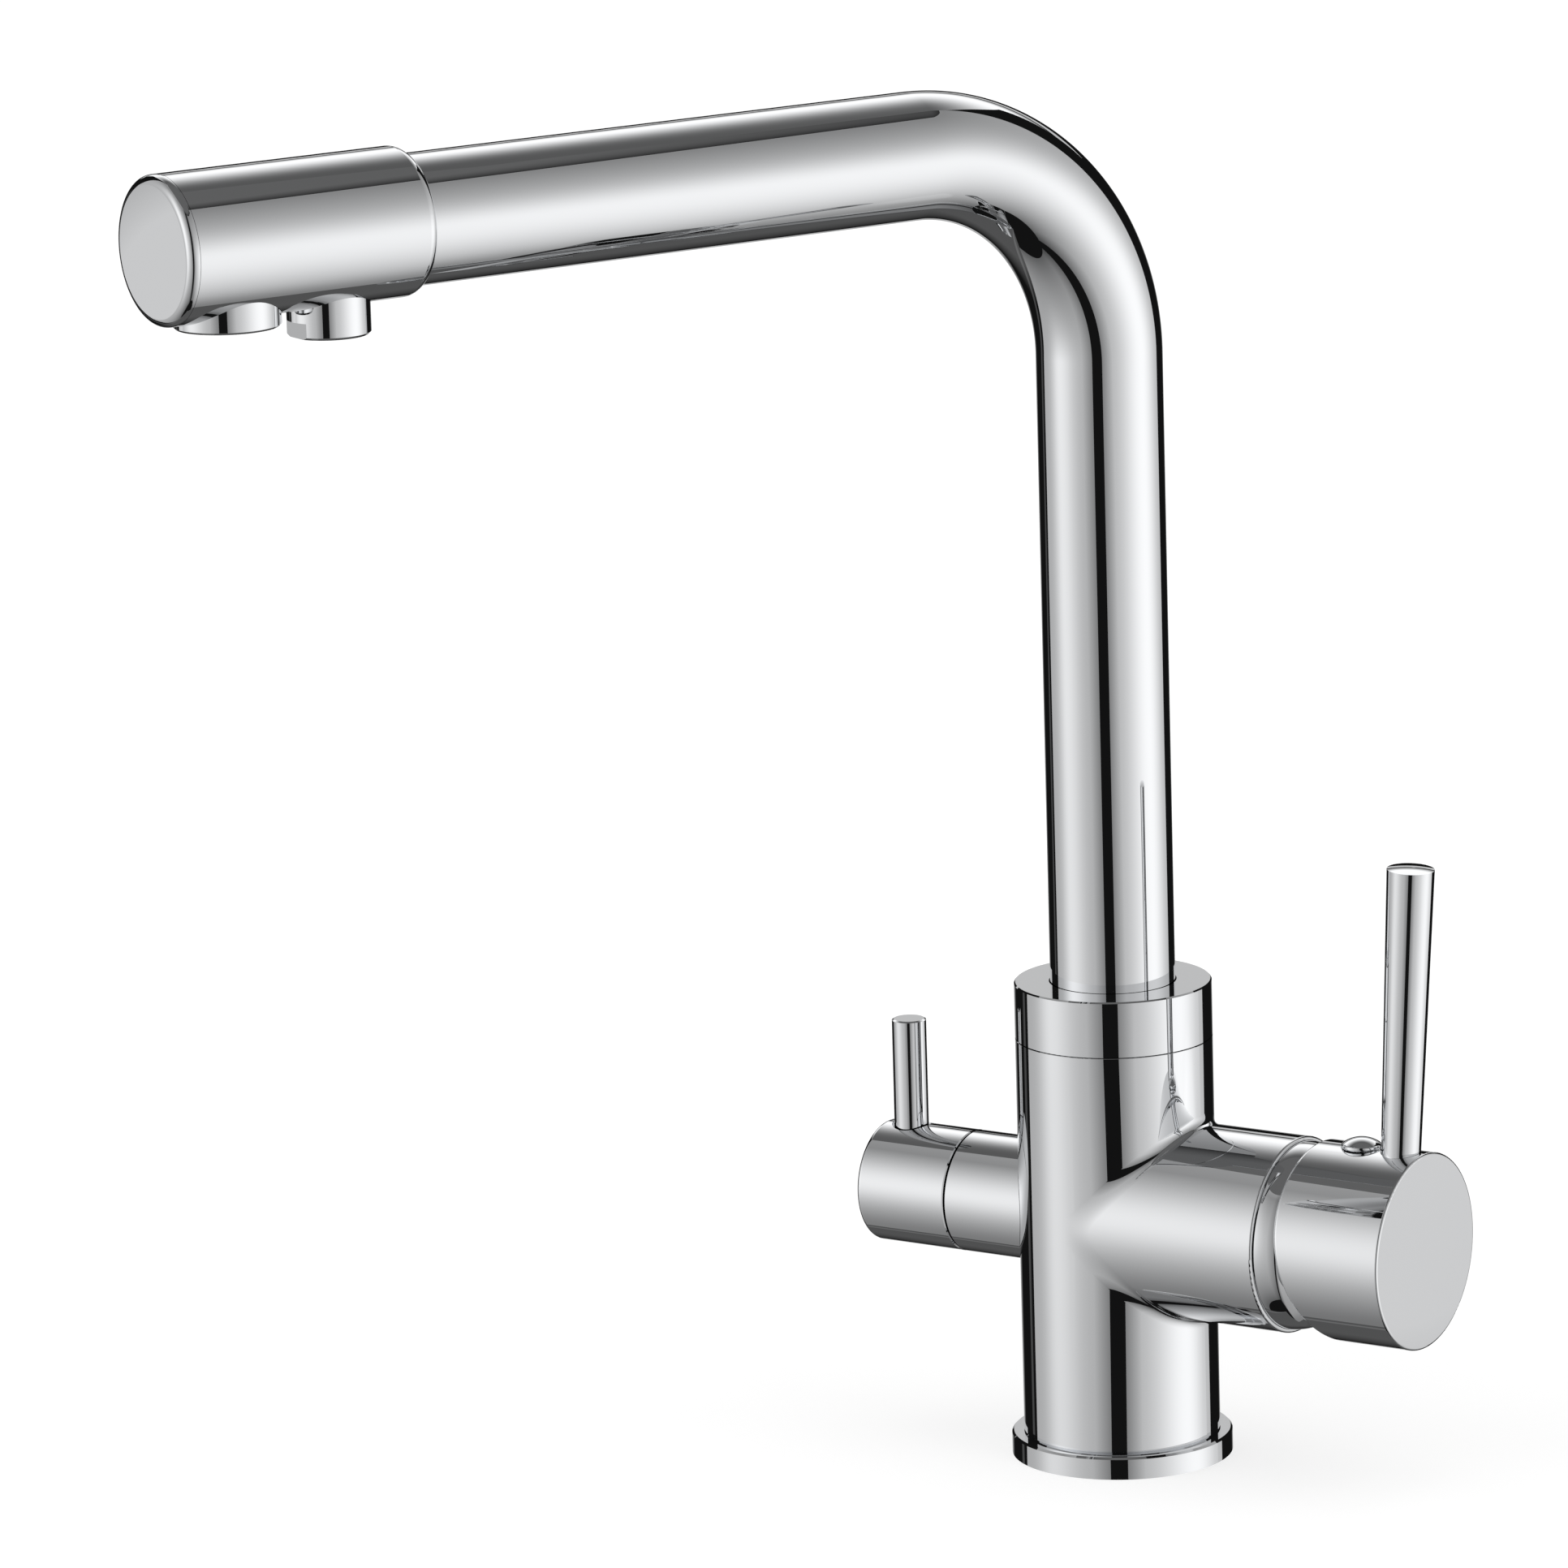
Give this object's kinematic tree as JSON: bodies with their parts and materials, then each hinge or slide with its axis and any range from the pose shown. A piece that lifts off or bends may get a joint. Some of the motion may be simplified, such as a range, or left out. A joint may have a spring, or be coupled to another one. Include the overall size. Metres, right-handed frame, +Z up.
{
  "type": "three way filtered water tap",
  "caption": "Kitchen sink mixer tap with a swivelling right-angled spout, a side mixer lever, a separate filtered-water lever and twin outlets under the nozzle.",
  "frame": {"origin": "on the worktop, at the centre of the column's foot", "axes": "+Z up the column, +X towards the mixer lever, -X towards the filtered-water lever, -Y towards the user; the stored spout is swung 114.3 degrees clockwise from +X, seen from above"},
  "size_m": [0.2091, 0.2665, 0.3426],
  "materials": {
    "chrome_body": "mirror polished cast and turned brass, chrome plated",
    "chrome_mixer": "mirror polished, chrome plated",
    "chrome_filter_valve": "mirror polished, chrome plated",
    "chrome_spout": "mirror polished drawn tube, chrome plated",
    "chrome_nozzle": "mirror polished, chrome plated",
    "chrome_outlets": "bright turned, chrome plated",
    "chrome_plug": "chrome plated plastic button",
    "rubber": "black moulded rubber",
    "cartridge_plastic": "moulded light grey plastic",
    "natural_plastic": "natural white plastic",
    "aerator_plastic": "moulded pale grey plastic screen",
    "ceramic": "lapped white ceramic",
    "brass": "turned brass",
    "steel": "turned stainless steel"
  },
  "bodies": {
    "body": {"base_ring": "chrome_body", "base_seal": "rubber", "body_casting": "chrome_body", "collar_nut": "chrome_body", "upper_glide_ring": "natural_plastic", "cartridge_seals": "rubber", "cartridge_base": "cartridge_plastic", "fixed_ceramic_disc": "ceramic", "cartridge_housing": "cartridge_plastic", "cartridge_nut": "brass", "dome_shroud": "chrome_mixer", "filter_valve_sleeve": "chrome_filter_valve", "filter_headwork": "brass", "headwork_seal": "rubber", "filter_fixed_disc": "ceramic"},
    "temperature_carrier": {"cartridge_rotor": "cartridge_plastic", "tilt_pin": "steel"},
    "mixing_disc": {"moving_ceramic_disc": "ceramic", "disc_carrier": "cartridge_plastic"},
    "lever": {"lever_stem": "steel", "lever_cap": "chrome_mixer", "lever_rod": "chrome_mixer", "grub_screw": "steel", "index_plug": "chrome_plug"},
    "filter_handle": {"filter_knob": "chrome_filter_valve", "filter_lever": "chrome_filter_valve", "filter_spindle": "brass", "spindle_seal": "rubber", "filter_moving_disc": "ceramic"},
    "spout": {"spout_tube": "chrome_spout", "spout_foot": "brass", "spout_o_rings": "rubber", "lower_glide_ring": "natural_plastic", "filter_tube_spigot": "brass", "spigot_o_ring": "rubber", "filter_tube": "natural_plastic", "nozzle_shell": "chrome_nozzle", "nozzle_end_cap": "chrome_nozzle", "outlet_block": "brass", "main_aerator_housing": "chrome_outlets", "main_aerator_insert": "aerator_plastic", "main_aerator_washer": "rubber", "filtered_outlet_housing": "chrome_outlets", "filtered_outlet_insert": "aerator_plastic", "filtered_outlet_washer": "rubber"}
  },
  "joints": [
    {"name": "temperature_turn", "type": "hinge", "parent": "body", "child": "temperature_carrier", "pos_m": [0.042, 0, 0.0605], "axis": [1, 0, 0], "range_deg": [-45, 45]},
    {"name": "lever_tilt", "type": "hinge", "parent": "temperature_carrier", "child": "lever", "pos_m": [0.042, 0, 0.0605], "axis": [0, 1, 0], "range_deg": [0, 20]},
    {"name": "disc_slide", "type": "slide", "parent": "temperature_carrier", "child": "mixing_disc", "axis": [0, 0, 1], "range_m": [0, 0.0058]},
    {"name": "filter_turn", "type": "hinge", "parent": "body", "child": "filter_handle", "pos_m": [-0.0588, 0, 0.0605], "axis": [1, 0, 0], "range_deg": [0, 90]},
    {"name": "spout_swivel", "type": "hinge", "parent": "body", "child": "spout", "pos_m": [0, 0, 0.1], "axis": [0, 0, 1], "continuous": true}
  ],
  "couplings": [
    {"joint": "disc_slide", "follows": "lever_tilt", "m_per_rad": 0.0165}
  ]
}
